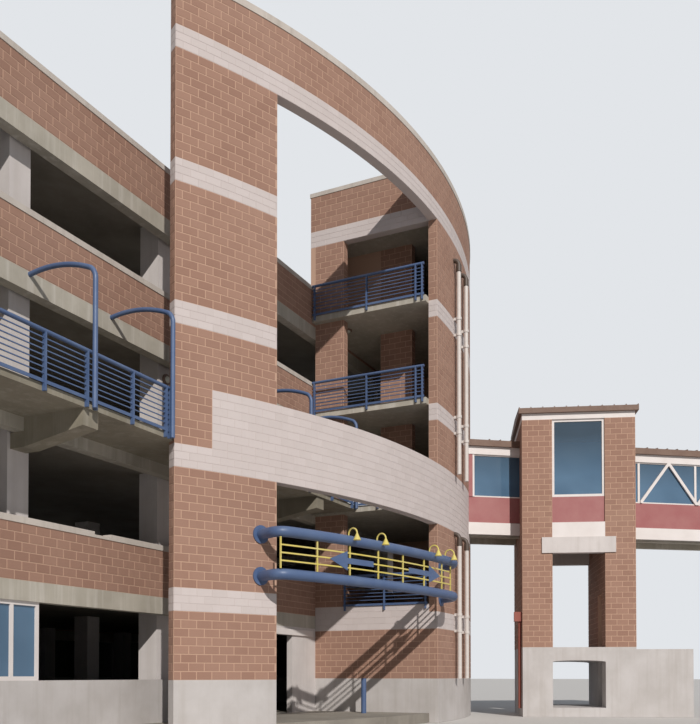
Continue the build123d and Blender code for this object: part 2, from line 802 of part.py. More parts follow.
# Walkway: floor, edge beams, panels, window frames, truss, glass and roof
def walk_piece(x0, x1, y0, y1, z0, z1):
    """Length of the walkway cut back to the screen and to the bridge tower."""
    whole = walk_frame() * block(x0, x1, y0, y1, z0, z1)
    return whole


def cut_walk(shape):
    screen = Pos(0, screen_centre_y, 0) * Cylinder(screen_radius, 4 * wall_top)
    return [s for s in (shape - screen - tower_envelope()).solids()]


def make_walkway(tower):
    start = walk_start - walk_width
    end = walk_span + truss_bays * truss_bay
    wide = walk_width
    floor_low = bridge_floor - tower_slab
    inner = panel_thickness + panel_setback
    floor = walk_piece(start, end, inner, wide - inner, floor_low, bridge_floor)
    girders = []
    for y in (walk_girder_inset, wide - walk_girder_inset - walk_girder_width):
        girders.append(walk_piece(start, end, y, y + walk_girder_width,
                                  walk_beam_bottom - walk_girder_drop, floor_low))
    deck = floor + girders[0] + girders[1]
    beams, panels, frames, sheets, fascias = [], [], [], [], []
    beam_top = walk_beam_bottom + walk_beam_height
    truss = []
    for y, into in ((0, 1), (wide, -1)):
        ba, bb = sorted((y, y + into * inner))
        beams += cut_walk(walk_piece(start, end, ba, bb, walk_beam_bottom, beam_top))
        pa, pb = sorted((y + into * panel_setback, y + into * inner))
        panels += cut_walk(walk_piece(start, end, pa, pb, beam_top, walk_panel_top))
        opening_low = walk_panel_top + frame_bar / 2
        opening_high = walk_head - frame_bar / 2
        whole = walk_piece(start, end, pa, pb, walk_panel_top, walk_head)
        link_cut = walk_piece(start, walk_span / 4 - frame_bar, pa, pb, opening_low, opening_high)
        bay_cuts = []
        for k in range(truss_bays + 1):
            x1 = end - k * truss_bay - frame_bar
            x0 = end - (k + 1) * truss_bay
            bay_cuts.append(walk_piece(x0, x1, pa, pb, opening_low, opening_high))
        opened = whole - link_cut
        for cut in bay_cuts:
            opened = opened - cut
        frames += cut_walk(opened)
        middle = (pa + pb) / 2
        half = glass_thickness / 2
        for cut in [link_cut] + bay_cuts:
            pane = cut & walk_piece(start, end, middle - half, middle + half, opening_low, opening_high)
            sheets += cut_walk(pane)
        ta, tb = sorted((y, y + into * panel_setback))
        for k in range(truss_bays):
            x1 = end - k * truss_bay
            x0 = x1 - truss_bay
            xm = (x0 + x1) / 2
            rise = walk_head - walk_panel_top
            run = xm - x0
            tilt = math.degrees(math.atan2(rise, run))
            long = math.hypot(rise, run)
            for centre, turn in (((x0 + xm) / 2, -tilt), ((xm + x1) / 2, tilt)):
                bar = walk_frame() * (Pos(centre, (ta + tb) / 2, (walk_head + walk_panel_top) / 2)
                                      * Rot(0, turn, 0) * Box(long, tb - ta, truss_bar))
                limit = walk_piece(x0, x1, ta, tb, walk_panel_top, walk_head)
                truss.append(bar & limit)
        fa, fb = sorted((y, y + into * inner))
        fascias += cut_walk(walk_piece(start, end, fa, fb, walk_head, walk_fascia_top))
    joined = []
    for k in range(0, len(truss), 2):
        pair = truss[k] + truss[k + 1]
        joined += [s for s in (pair - tower_envelope()).solids()]
    save("bridge_floors", tower["floors"] + cut_walk(deck))
    save("bridge_beams", tower["beams"] + beams)
    save("bridge_panels", tower["panels"] + panels)
    save("bridge_window_frames", tower["frames"] + frames)
    save("bridge_glass", tower["glass"] + sheets)
    save("bridge_fascias", tower["fascias"] + fascias)
    save("walkway_truss", joined)
    e = walk_eave
    edge = Polyline((-e, walk_fascia_top), (-e, walk_fascia_top + walk_roof_edge),
                    (wide / 2, walk_fascia_top + walk_roof_rise),
                    (wide + e, walk_fascia_top + walk_roof_edge), (wide + e, walk_fascia_top), close=True)
    prism = Pos(start, 0, 0) * extrude(Plane.YZ * make_face(edge), amount=end - start)
    save("bridge_roofs", tower["roofs"] + cut_walk(walk_frame() * prism))


# Rust red downpipe with its hopper, on the bridge tower's left side
def make_downpipe():
    frame = bridge_frame()
    x = -downpipe_radius - downpipe_standoff
    length = hopper_top - hopper_height - ground_slab
    pipe = Pos(x, hopper_size, ground_slab + length / 2) * Cylinder(downpipe_radius, length)
    head = block(-hopper_size - joint_clearance, -joint_clearance, hopper_size / 2, hopper_size * 1.5,
                 hopper_top - hopper_height, hopper_top)
    save("downpipe", [frame * (pipe + head)])


# Blue bollard in the court
def make_bollard():
    middle = ground_slab + bollard_height / 2
    post = Pos(bollard_x, bollard_y, middle) * Cylinder(bollard_radius, bollard_height)
    crown = post.edges().filter_by(GeomType.CIRCLE).sort_by(Axis.Z)[-1]
    save("bollard", [fillet(crown, bollard_radius / 3)])


make_slabs()
make_columns()
make_base()
make_entrance()
make_spandrels()
make_windows()
make_screen()
make_white_pipes()
make_tower()
make_balcony()
make_balcony_railing()
make_hoops()
make_tower_railings()
make_sign()
make_lamps()
make_walkway(make_bridge_tower())
make_downpipe()
make_bollard()
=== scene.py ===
import math

import bpy
import numpy as np
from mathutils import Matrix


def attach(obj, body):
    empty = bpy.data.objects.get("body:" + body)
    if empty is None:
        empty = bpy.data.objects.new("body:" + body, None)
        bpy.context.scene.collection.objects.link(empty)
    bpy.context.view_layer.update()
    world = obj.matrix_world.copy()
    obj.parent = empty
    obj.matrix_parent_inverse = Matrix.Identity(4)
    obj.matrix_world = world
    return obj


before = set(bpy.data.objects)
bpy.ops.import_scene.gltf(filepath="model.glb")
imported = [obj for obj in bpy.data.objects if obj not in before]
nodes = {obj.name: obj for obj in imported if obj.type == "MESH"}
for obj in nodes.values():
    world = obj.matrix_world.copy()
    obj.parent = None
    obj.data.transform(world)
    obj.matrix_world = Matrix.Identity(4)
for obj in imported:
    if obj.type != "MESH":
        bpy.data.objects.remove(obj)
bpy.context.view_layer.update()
scene = bpy.context.scene
scene.view_settings.view_transform = "Standard"


# Camera: a shift lens set nearly level beside the wing, close to the curved screen. Its place,
# heading and shift are the ones that the walls' perspective gives, with lengths in pixels of the
# photograph's frame.
camera_at = (-27.233, -14.644, 1.550)
camera_heading = math.radians(26.04)
camera_pitch = 0.0194
focal_pixels = 894.365
photo_height = 724
level_line = 657.33
sensor = 36
far_clip = 400

camera_data = bpy.data.cameras.new("camera")
camera_data.sensor_width = sensor
camera_data.sensor_fit = "AUTO"
camera_data.lens = sensor * focal_pixels / photo_height
camera_data.shift_y = (level_line - photo_height / 2) / photo_height
camera_data.clip_end = far_clip
camera = bpy.data.objects.new("camera", camera_data)
camera.location = camera_at
camera.rotation_euler = (math.pi / 2 + camera_pitch, 0, camera_heading - math.pi / 2)
scene.collection.objects.link(camera)
scene.camera = camera


# Floor and light: a plain pale matt floor, one sun about 32 degrees high that shines from behind
# the camera, and an even pale sky. None of them is part of the building. The way of making
# finishes stands here too, because the floor is the first that needs it.
class Value:
    """A socket in a material. Arithmetic on it adds Math nodes."""

    def __init__(self, finish, socket):
        self.finish = finish
        self.socket = socket

    def math(self, operation, other):
        """Math node on this value and another value or number."""
        return self.finish.node("ShaderNodeMath", {"operation": operation}, {0: self, 1: other})

    def __add__(self, other):
        return self.math("ADD", other)

    def __radd__(self, other):
        return self + other

    def __mul__(self, other):
        return self.math("MULTIPLY", other)

    def __rmul__(self, other):
        return self * other

    def __gt__(self, other):
        return self.math("GREATER_THAN", other)

    def __lt__(self, other):
        return self.math("LESS_THAN", other)


def tint(red, green, blue):
    """Linear colour from one written in sRGB, 0 to 255."""
    parts = []
    for part in (red, green, blue):
        part = part / 255
        parts.append(part / 12.92 if part <= 0.04045 else ((part + 0.055) / 1.055) ** 2.4)
    return (*parts, 1.0)


class Finish:
    """A node material round one Principled shader, laid by the place on the piece."""

    def __init__(self, name):
        self.material = bpy.data.materials.new(name)
        self.material.use_nodes = True
        self.tree = self.material.node_tree
        self.shader = self.tree.nodes["Principled BSDF"]
        self.place = self.node("ShaderNodeTexCoord", {}, {}, "Object")

    def node(self, kind, settings, inputs, output=0):
        """Add a node, feed its inputs with values or constants, and give one of its outputs."""
        made = self.tree.nodes.new(kind)
        for name, value in settings.items():
            setattr(made, name, value)
        for name, value in inputs.items():
            if isinstance(value, Value):
                self.tree.links.new(value.socket, made.inputs[name])
            else:
                made.inputs[name].default_value = value
        return Value(self, made.outputs[output])

    def noise(self, scale, detail, roughness, stretch=None):
        """Noise from 0 to 1 with features about 1 / scale metres wide."""
        where = self.place
        if stretch:
            where = self.node("ShaderNodeMapping", {}, {"Vector": where, "Scale": stretch})
        given = {"Vector": where, "Scale": scale, "Detail": detail, "Roughness": roughness}
        return self.node("ShaderNodeTexNoise", {}, given)

    def ramp(self, value, low, high):
        """0 below low, 1 above high, even between."""
        return self.node("ShaderNodeMapRange", {"clamp": True},
                         {"Value": value, "From Min": low, "From Max": high})

    def mix(self, factor, first, second):
        """Blend of two colours."""
        return self.node("ShaderNodeMix", {"data_type": "RGBA"},
                         {0: factor, 6: first, 7: second}, 2)

    def height(self):
        """Height of the place on the piece, in metres."""
        return self.node("ShaderNodeSeparateXYZ", {}, {"Vector": self.place}, "Z")

    def attribute(self, name):
        """A number that the mesh keeps for each face."""
        return self.node("ShaderNodeAttribute", {"attribute_name": name}, {}, "Fac")

    def bump(self, height, depth, strength):
        """Surface relief of depth metres."""
        return self.node("ShaderNodeBump", {},
                         {"Height": height, "Distance": depth, "Strength": strength})

    def apply(self, colour, rough, normal=None, **plain):
        """Feed the shader: links or numbers on its varying sockets, numbers on the rest."""
        given = {"Base Color": colour, "Roughness": rough, "Normal": normal}
        for name, value in given.items():
            if isinstance(value, Value):
                self.tree.links.new(value.socket, self.shader.inputs[name])
            elif value is not None:
                self.shader.inputs[name].default_value = value
        for name, value in plain.items():
            self.shader.inputs[name].default_value = value

    def dress(self, *names):
        """Give the finish to CAD nodes by name."""
        for name in names:
            mesh = nodes[name].data
            mesh.materials.clear()
            mesh.materials.append(self.material)


floor_half = 300
floor_drop = 0.004
floor_finish = Finish("floor")
floor_finish.apply(tint(205, 203, 200), 0.9)
floor_mesh = bpy.data.meshes.new("floor")
floor_mesh.from_pydata([(-floor_half, -floor_half, 0), (floor_half, -floor_half, 0),
                        (floor_half, floor_half, 0), (-floor_half, floor_half, 0)],
                       [], [(0, 1, 2, 3)])
floor_mesh.materials.append(floor_finish.material)
floor_object = bpy.data.objects.new("floor", floor_mesh)
floor_object.location = (0, 0, -floor_drop)
scene.collection.objects.link(floor_object)

sun_data = bpy.data.lights.new("sun", "SUN")
sun_data.energy = 3.2
sun_data.angle = math.radians(0.7)
sun_data.color = (1.0, 0.955, 0.90)
sun = bpy.data.objects.new("sun", sun_data)
sun_travel = np.array((1.0, 0.88, -0.83))
sun.rotation_euler = (math.acos(-sun_travel[2] / np.linalg.norm(sun_travel)), 0,
                      math.atan2(sun_travel[1], sun_travel[0]) - math.pi / 2)
scene.collection.objects.link(sun)

world = bpy.data.worlds.new("sky")
world.use_nodes = True
scene.world = world
sky_tree = world.node_tree
sky_light = sky_tree.nodes["Background"]
sky_light.inputs["Color"].default_value = tint(214, 222, 236)
sky_light.inputs["Strength"].default_value = 0.28
sky_shown = sky_tree.nodes.new("ShaderNodeBackground")
sky_shown.inputs["Color"].default_value = tint(226, 229, 233)
sky_shown.inputs["Strength"].default_value = 1.0
sky_mix = sky_tree.nodes.new("ShaderNodeMixShader")
seen_by = sky_tree.nodes.new("ShaderNodeLightPath")
shown_to = seen_by.outputs["Is Camera Ray"]
for ray in ("Is Glossy Ray", "Is Transmission Ray"):
    either = sky_tree.nodes.new("ShaderNodeMath")
    either.operation = "MAXIMUM"
    sky_tree.links.new(shown_to, either.inputs[0])
    sky_tree.links.new(seen_by.outputs[ray], either.inputs[1])
    shown_to = either.outputs[0]
sky_tree.links.new(shown_to, sky_mix.inputs[0])
sky_tree.links.new(sky_light.outputs[0], sky_mix.inputs[1])
sky_tree.links.new(sky_shown.outputs[0], sky_mix.inputs[2])
sky_tree.links.new(sky_mix.outputs[0], sky_tree.nodes["World Output"].inputs[0])


# Blockwork: walls of rough red concrete blocks and smooth pale ones, 16 by 8 inches, laid in
# running bond. Each block stands a little proud of the mortar, which is the wall behind it.
course = 0.2032
block_length = 2 * course
course_rounding = 0.2
red_joint = 0.021
pale_joint = 0.007
block_proud = 0.006
block_chamfer = 0.004
block_backing = 0.002
smallest_block = 3 * red_joint
base_top = 7 * course
screen_centre_y = 16.145
screen_outer = 20.645
screen_thickness = 0.3
screen_inner = screen_outer - screen_thickness
tone_draw = np.random.default_rng(7)


def laid_blocks(start, end, bottom, top, cuts=()):
    """Rectangles (s0, s1, z0, z1) of the blocks in a stretch of wall, s along it and z up.

    The height is shared out in equal courses of about 8 inches. Odd courses shift by half a
    block, and blocks are cut at the stretch's ends and at the rectangles given as cuts.
    """
    count = max(1, round((top - bottom) / course + course_rounding))
    levels = np.linspace(bottom, top, count + 1)
    rows = []
    for k, (low, high) in enumerate(zip(levels, levels[1:])):
        offset = (k % 2) * course
        i0 = math.floor((start - offset) / block_length)
        i1 = math.ceil((end - offset) / block_length)
        edges = np.clip(offset + np.arange(i0, i1 + 1) * block_length, start, end)
        heights = np.tile((low, high), (i1 - i0, 1))
        rows.append(np.column_stack([edges[:-1], edges[1:], heights]))
    found = np.concatenate(rows)
    for c0, c1, d0, d1 in cuts:
        middle = found[:, 2:].mean(1)
        hit = (middle > d0) & (middle < d1) & (found[:, 1] > c0) & (found[:, 0] < c1)
        before = hit & (found[:, 0] < c0)
        after = hit & ~before & (found[:, 1] > c1)
        found[before, 1] = c0
        found[after, 0] = c1
        found = found[~hit | before | after]
    return found[found[:, 1] - found[:, 0] > smallest_block]


def raised_faces(rects, place, joint):
    """Vertices and quads of blocks: a rim on the wall, a chamfer, and a flat face.

    Each block is two rings of four corners: the rim at depth -backing, and the face at
    depth +proud, drawn in by the chamfer. place(s, z, d) gives a point of the wall.
    """
    count = len(rects)
    s0, s1, z0, z1 = rects.T
    s, z = [], []
    for inset in (joint / 2, joint / 2 + block_chamfer):
        s += [s0 + inset, s1 - inset, s1 - inset, s0 + inset]
        z += [z0 + inset, z0 + inset, z1 - inset, z1 - inset]
    d = np.tile([-block_backing] * 4 + [block_proud] * 4, count)
    points = place(np.stack(s, 1).ravel(), np.stack(z, 1).ravel(), d)
    quads = np.array([[4, 5, 6, 7], [0, 1, 5, 4], [1, 2, 6, 5], [2, 3, 7, 6], [3, 0, 4, 7]])
    faces = (np.arange(count)[:, None, None] * 8 + quads).reshape(-1, 4)
    return points, faces, np.repeat(tone_draw.random(count), len(quads))


def flat_wall(origin, along, outward):
    """A flat wall: the place origin + s * along + d * outward, raised by z, and whether faces
    turn round because along and up make a left hand with outward."""
    ox, oy = origin
    ax, ay = along
    nx, ny = outward

    def place(s, z, d):
        return np.stack([ox + s * ax + d * nx, oy + s * ay + d * ny, z], 1)
    return place, ay * nx - ax * ny < 0


def round_wall(radius, out):
    """A wall round the screen's centre: s is arc length at the wall's radius from the line
    X = 0, and the point lies at radius + d * out."""
    def place(s, z, d):
        turn = s / radius
        r = radius + d * out
        return np.stack([r * np.sin(turn), screen_centre_y - r * np.cos(turn), z], 1)
    return place, out < 0


def wall_faces(wall, start, end, bottom, top, cuts=(), joint=red_joint):
    """Blocks of one stretch of wall, as points, quads and tones."""
    place, turned_round = wall
    rects = laid_blocks(start, end, bottom, top, cuts)
    points, faces, tones = raised_faces(rects, place, joint)
    return points, faces[:, ::-1] if turned_round else faces, tones


def mesh_piece(name, parts, finish):
    """One object from several sets of (points, quads, tones), with the tones kept per face."""
    starts = np.cumsum([0] + [len(points) for points, _, _ in parts])
    points = np.concatenate([part[0] for part in parts])
    faces = np.concatenate([part[1] + start for part, start in zip(parts, starts)])
    tones = np.concatenate([part[2] for part in parts])
    mesh = bpy.data.meshes.new(name)
    mesh.vertices.add(len(points))
    mesh.vertices.foreach_set("co", points.astype(np.float32).ravel())
    mesh.loops.add(faces.size)
    mesh.loops.foreach_set("vertex_index", faces.astype(np.int32).ravel())
    mesh.polygons.add(len(faces))
    mesh.polygons.foreach_set("loop_start", (np.arange(len(faces)) * 4).astype(np.int32))
    tone = mesh.attributes.new("tone", "FLOAT", "FACE")
    tone.data.foreach_set("value", tones.astype(np.float32))
    mesh.update(calc_edges=True)
    mesh.shade_flat()
    mesh.materials.append(finish.material)
    piece = bpy.data.objects.new(name, mesh)
    scene.collection.objects.link(piece)
    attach(piece, "root")


def block_finish(name, colour, dark, light, spread, grit):
    """Concrete block: own tone for each block, sandy grain, weathering and fine pits."""
    finish = Finish(name)
    tone = finish.attribute("tone")
    grain = finish.noise(70, 4, 0.6)
    cloud = finish.noise(0.35, 3, 0.55)
    wash = finish.noise(1.1, 3, 0.6, (3.0, 3.0, 0.3))
    own = finish.mix(tone * spread, tint(*colour), tint(*dark))
    aged = finish.mix(finish.ramp(cloud, 0.45, 0.8) * 0.35, own, tint(*light))
    washed = finish.mix(finish.ramp(wash, 0.55, 0.8) * 0.25, aged, tint(*dark))
    sanded = finish.mix(finish.ramp(grain, 0.35, 0.75) * grit, washed, tint(*dark))
    finish.apply(sanded, 0.92, finish.bump(finish.noise(130, 3, 0.7), 0.0015, 0.6))
    return finish


def mortar_finish(name, colour, dark):
    """Mortar: sandy grain between two tones, which also gives its relief."""
    finish = Finish(name)
    grain = finish.noise(140, 3, 0.6)
    finish.apply(finish.mix(grain, tint(*colour), tint(*dark)), 0.95,
                 finish.bump(grain, 0.002, 0.6))
    return finish


red_blocks = block_finish("red_block", (161, 127, 110), (139, 105, 90), (176, 146, 131),
                          0.55, 0.3)
pale_blocks = block_finish("pale_block", (203, 193, 191), (190, 180, 177), (211, 203, 201),
                           0.5, 0.15)
mortar_finish("mortar", (194, 160, 140), (178, 146, 126)).dress(
    "front_block_walls", "rear_block_walls", "screen_left_blocks", "screen_right_blocks",
    "screen_parapet", "tower_front_blocks", "tower_rear_wall", "tower_side_walls",
    "bridge_tower_walls", "tower_inner_piers")
mortar_finish("pale_mortar", (200, 189, 186), (189, 178, 175)).dress(
    "screen_bands", "screen_mid_band", "screen_top_band", "tower_front_bands")


# Curved screen: red fields between pale bands, laid round both faces of a 300 mm wall, with
# returns of cut blocks in the jambs of its tall opening and at its two ends.
left_end, jamb, limb = (math.radians(angle) for angle in (-29.83, -21.85, 21.5))
mid_band_start = math.radians(-27.1)
band_height = 0.553
band_low = [base_top + 8 * course + i * (14 * course + band_height) for i in range(4)]
top_band = band_low[3] + band_height + 13 * course
top_field = top_band + band_height
wall_top = top_field + 6 * course
mid_low = band_low[1] + band_height
mid_top = mid_low + 7 * course
pass_heights = (7.21, 9.9)
walk_door = (math.radians(14.0), math.radians(20.6))

red_fields = []
for low, high in zip([base_top] + [low + band_height for low in band_low], band_low + [top_band]):
    if low == mid_low:
        red_fields.append((left_end, mid_band_start, low, mid_top))
        low = mid_top
    red_fields += [(left_end, jamb, low, high), (0, limb, low, high)]
red_fields.append((left_end, limb, top_field, wall_top))
pale_fields = []
for low in (band_low[0], band_low[2], band_low[3]):
    pale_fields += [(left_end, jamb, low, low + band_height), (0, limb, low, low + band_height)]
pale_fields += [(left_end, limb, band_low[1], mid_low), (mid_band_start, limb, mid_low, mid_top),
                (left_end, limb, top_band, top_field)]


def screen_field(face, start, end, low, high, joint=red_joint):
    """Blocks on one face of the screen between two angles, cut at the walkway's doorway."""
    radius, out = face
    cut = (walk_door[0] * radius, walk_door[1] * radius, *pass_heights)
    return wall_faces(round_wall(radius, out), start * radius, end * radius, low, high,
                      (cut,), joint)


def end_wall(angle, side):
    """The screen's thickness at an angle: s runs from its inner to its outer face, and the
    blocks stand out on the given side."""
    out = np.array((math.sin(angle), -math.cos(angle)))
    face = np.array((math.cos(angle), math.sin(angle))) * side
    origin = out * screen_inner + np.array((0, screen_centre_y))
    return flat_wall(origin, out, face)


red_parts, pale_parts = [], []
for face in ((screen_outer, 1), (screen_inner, -1)):
    red_parts += [screen_field(face, *field) for field in red_fields]
    pale_parts += [screen_field(face, *field, pale_joint) for field in pale_fields]

pale_levels = [(low, low + band_height) for low in band_low] + [(top_band, top_field)]
limb_levels = sorted(pale_levels + [(mid_low, mid_top)])
whole_height = [(base_top, wall_top)]
beside_opening = [(base_top, band_low[1]), (mid_top, top_band)]
for angle, side, levels, spans in ((left_end, -1, pale_levels, whole_height),
                                   (jamb, 1, pale_levels, beside_opening),
                                   (0, -1, pale_levels, beside_opening),
                                   (limb, 1, limb_levels, whole_height)):
    wall = end_wall(angle, side)
    for low, high in spans:
        reached = low
        for pale_low, pale_high in levels:
            if pale_high <= low or pale_low >= high:
                continue
            if pale_low > reached:
                red_parts.append(wall_faces(wall, 0, screen_thickness, reached, pale_low))
            reached = min(pale_high, high)
            pale_parts.append(wall_faces(wall, 0, screen_thickness, max(pale_low, low), reached,
                                         (), pale_joint))
        if reached < high:
            red_parts.append(wall_faces(wall, 0, screen_thickness, reached, high))
mesh_piece("screen_red_blocks", red_parts, red_blocks)
mesh_piece("screen_pale_blocks", pale_parts, pale_blocks)


# Wing: six courses of red blocks on each concrete beam, inside and out, with none along the
# balcony, and a pier of blocks beside the entrance doorway.
x0, x1 = -23.75, 8.05
y0, y1 = 0.0, 15.5
first_floor = base_top + 12 * course
storey = 3.35
wall_depth = 0.2
end_clear = 0.3
beam_top_drop = 0.295
beam_foot_drop = 0.73
spandrel = 6 * course
door_pier = (-3.3, -2.7)
door_pier_joint = 0.012
beam_tops = [first_floor + i * storey - beam_top_drop for i in (0, 2, 3)]
rear_beam_tops = sorted(beam_tops + [first_floor + storey - beam_top_drop])
front_outside = flat_wall((0, y0), (1, 0), (0, -1))
front_inside = flat_wall((0, y0 + wall_depth), (1, 0), (0, 1))
rear_outside = flat_wall((0, y1), (1, 0), (0, 1))
rear_inside = flat_wall((0, y1 - wall_depth), (1, 0), (0, -1))
inside_x = (x0 + wall_depth, x1 - wall_depth)
front_parts, rear_parts = [], []
for low in beam_tops:
    front_parts.append(wall_faces(front_outside, x0, x1, low, low + spandrel))
    front_parts.append(wall_faces(front_inside, *inside_x, low, low + spandrel))
for low in rear_beam_tops:
    high = low + spandrel
    rear_parts.append(wall_faces(rear_outside, x0, x1, low, high))
    rear_parts.append(wall_faces(rear_inside, *inside_x, low, high))
    for x, out in ((x0, -1), (x1, 1)):
        end_outside = flat_wall((x, 0), (0, 1), (out, 0))
        end_inside = flat_wall((x - out * wall_depth, 0), (0, 1), (-out, 0))
        rear_parts.append(wall_faces(end_outside, y0 + wall_depth, y1, low, high))
        rear_parts.append(wall_faces(end_inside, y0 + end_clear, y1 - wall_depth, low, high))
front_parts.append(wall_faces(front_outside, *door_pier, base_top, first_floor - beam_foot_drop,
                              (), door_pier_joint))
mesh_piece("wing_front_blocks", front_parts, red_blocks)
mesh_piece("wing_rear_blocks", rear_parts, red_blocks)


# Stair tower: red blocks on its pilaster, parapet, side and rear and on the piers behind its
# open levels, with pale courses through.
tower_depth = 7.2
tower_side_y = 0.18
tower_foot = screen_inner - screen_centre_y
tower_back = math.sqrt(screen_inner ** 2 - tower_depth ** 2) - screen_centre_y
tower_slab = 0.2
pier_thickness = 0.3
pilaster = 1.1
wing_parapet = 1.065
roof_gap = 0.05
pier_x, pier_start, pier_end = 1.8, 1.68, 2.88
floors = [first_floor + i * storey for i in range(4)]
parapet_low = floors[3] + wing_parapet
tower_front = flat_wall((0, 0), (0, -1), (-1, 0))
pilaster_side = flat_wall((0, -pilaster), (1, 0), (0, -1))
tower_side = flat_wall((0, tower_side_y), (1, 0), (0, 1))
tower_rear = flat_wall((tower_depth, 0), (0, 1), (1, 0))
pier_front = flat_wall((pier_x, 0), (0, -1), (-1, 0))
pier_side = flat_wall((pier_x, -pier_end), (1, 0), (0, -1))
tower_parts, tower_pale = [], []
tower_parts.append(wall_faces(tower_front, 0, tower_foot, base_top, band_low[0]))
for low, high in zip(floors, [level - tower_slab for level in floors[1:]] + [top_band]):
    tower_parts.append(wall_faces(tower_front, 0, pilaster, low, high))
    tower_parts.append(wall_faces(pilaster_side, 0, pier_thickness, low, high))
tower_parts.append(wall_faces(tower_front, -tower_side_y, tower_foot, top_field, wall_top))
tower_parts.append(wall_faces(tower_side, 0, tower_depth, parapet_low, wall_top))
tower_parts.append(wall_faces(tower_rear, -tower_back, 0, base_top, parapet_low))
tower_parts.append(wall_faces(tower_rear, -tower_back, tower_side_y, parapet_low, wall_top))
tower_pale.append(wall_faces(tower_front, 0, tower_foot, band_low[0], floors[0],
                             (), pale_joint))
tower_pale.append(wall_faces(tower_front, -tower_side_y, tower_foot, top_band, top_field,
                             (), pale_joint))
for low, ceiling in zip(floors[1:], floors[2:] + [top_field - roof_gap]):
    high = ceiling - tower_slab
    tower_parts.append(wall_faces(pier_front, pier_start, pier_end, low, high))
    tower_parts.append(wall_faces(pier_side, 0, pier_thickness, low, high))
mesh_piece("tower_red_blocks", tower_parts, red_blocks)
mesh_piece("tower_pale_blocks", tower_pale, pale_blocks)


# Bridge tower: two side walls of red blocks on a concrete base, cut where the walkway passes
# and at the gap in the right wall. A cut is (start, end, low, high) along a face, and each wall
# has one for its left and one for its right face.
bridge_at = np.array((5.195, -5.89))
bridge_turn = math.radians(-70.2)
bridge_width = 4.08
bridge_depth = 4.0
bridge_pier = 1.09
bridge_base = 2.56
bridge_head = 10.98
across = np.array((math.cos(bridge_turn), math.sin(bridge_turn)))
inward = np.array((-across[1], across[0]))
side_gap = (0.83, 1.69, 0.34, 4.57)
left_wall_passes = ((1.13, 3.48, *pass_heights), (1.47, 3.82, *pass_heights))
right_wall_passes = ((2.06, 4.1, *pass_heights), (2.39, 4.1, *pass_heights))
corner_pass = (-1, bridge_pier + 1, *pass_heights)
bridge_parts = []
for x, back_cuts, (left_cuts, right_cuts) in (
        (0, [], [[cut] for cut in left_wall_passes]),
        (bridge_width - bridge_pier, [corner_pass],
         [[cut, side_gap] for cut in right_wall_passes])):
    for corner_x, corner_y, along, outward, length, cuts in (
            (x, 0, across, -inward, bridge_pier, []),
            (x, bridge_depth, across, inward, bridge_pier, back_cuts),
            (x, 0, inward, -across, bridge_depth, left_cuts),
            (x + bridge_pier, 0, inward, across, bridge_depth, right_cuts)):
        corner = bridge_at + corner_x * across + corner_y * inward
        bridge_parts.append(wall_faces(flat_wall(corner, along, outward), 0, length,
                                       bridge_base, bridge_head, cuts))
mesh_piece("bridge_tower_blocks", bridge_parts, red_blocks)


# Concrete: cast beams, slabs, brackets, decks and bases, streaked by rain, paler painted
# columns, and cast stone copings.
def concrete_finish(name, colour, dark, stain, streaks):
    """Cast concrete: cloudy tone, rain streaks stretched down the face, and fine pores."""
    finish = Finish(name)
    cloud = finish.noise(0.8, 4, 0.6)
    streak = finish.noise(1.0, 4, 0.65, (4.5, 4.5, 0.22))
    pores = finish.noise(60, 3, 0.7)
    toned = finish.mix(finish.ramp(cloud, 0.3, 0.7), tint(*colour), tint(*dark))
    washed = finish.mix(finish.ramp(streak, 0.5, 0.72) * streaks, toned, tint(*stain))
    fine = finish.mix(finish.ramp(pores, 0.55, 0.8) * 0.25, washed, tint(*dark))
    finish.apply(fine, 0.88, finish.bump(pores + cloud * 2.0, 0.002, 0.5))
    return finish


for name, colour, dark, stain, streaks, pieces in (
        ("cast_concrete", (184, 178, 166), (160, 154, 142), (208, 204, 197), 0.55,
         ("front_beams", "rear_beams", "tower_slabs", "bridge_floors")),
        # The balcony's slab and brackets get a darker copy of the cast concrete, as painted shade
        # under the balcony; its lighter streaks are rain stains.
        ("balcony_shade_concrete", (150, 143, 128), (122, 116, 102), (172, 166, 154), 0.45,
         ("balcony_slab", "balcony_brackets")),
        ("deck_concrete", (150, 144, 134), (126, 120, 112), (160, 154, 146), 0.3,
         ("decks", "ground_slabs")),
        ("plinth_concrete", (197, 193, 192), (178, 173, 170), (162, 155, 148), 0.35,
         ("front_base_wall", "rear_base_walls", "screen_base", "tower_base",
          "bridge_tower_base", "bridge_low_wall")),
        ("white_concrete", (212, 206, 204), (196, 190, 188), (180, 172, 166), 0.3,
         ("columns", "corner_column", "bridge_tower_lintels", "entrance_wall")),
        ("coping_stone", (202, 194, 186), (184, 176, 168), (150, 142, 132), 0.4,
         ("front_copings", "rear_copings", "screen_coping", "tower_copings"))):
    concrete_finish(name, colour, dark, stain, streaks).dress(*pieces)


# Painted steel: dark blue railings, hoops, sign tubes and bollard, a yellow grille and lamps,
# white frames, beams and truss, red panels, a rust red downpipe, and brown roofs. The paint is
# fairly smooth, and duller where dust lies on it.
def paint_finish(name, colour, worn, rough):
    """Paint: even colour with faint fading, dust in patches, and rough where it is dusty."""
    finish = Finish(name)
    fade = finish.noise(1.6, 3, 0.5)
    dust = finish.noise(14, 4, 0.65)
    faded = finish.mix(finish.ramp(fade, 0.35, 0.75) * 0.5, tint(*colour), tint(*worn))
    dusty = finish.mix(finish.ramp(dust, 0.62, 0.85) * 0.35, faded, tint(*worn))
    rougher = finish.ramp(dust, 0.4, 0.8) * 0.2 + rough
    finish.apply(dusty, rougher, finish.bump(dust, 0.0006, 0.4))
    return finish


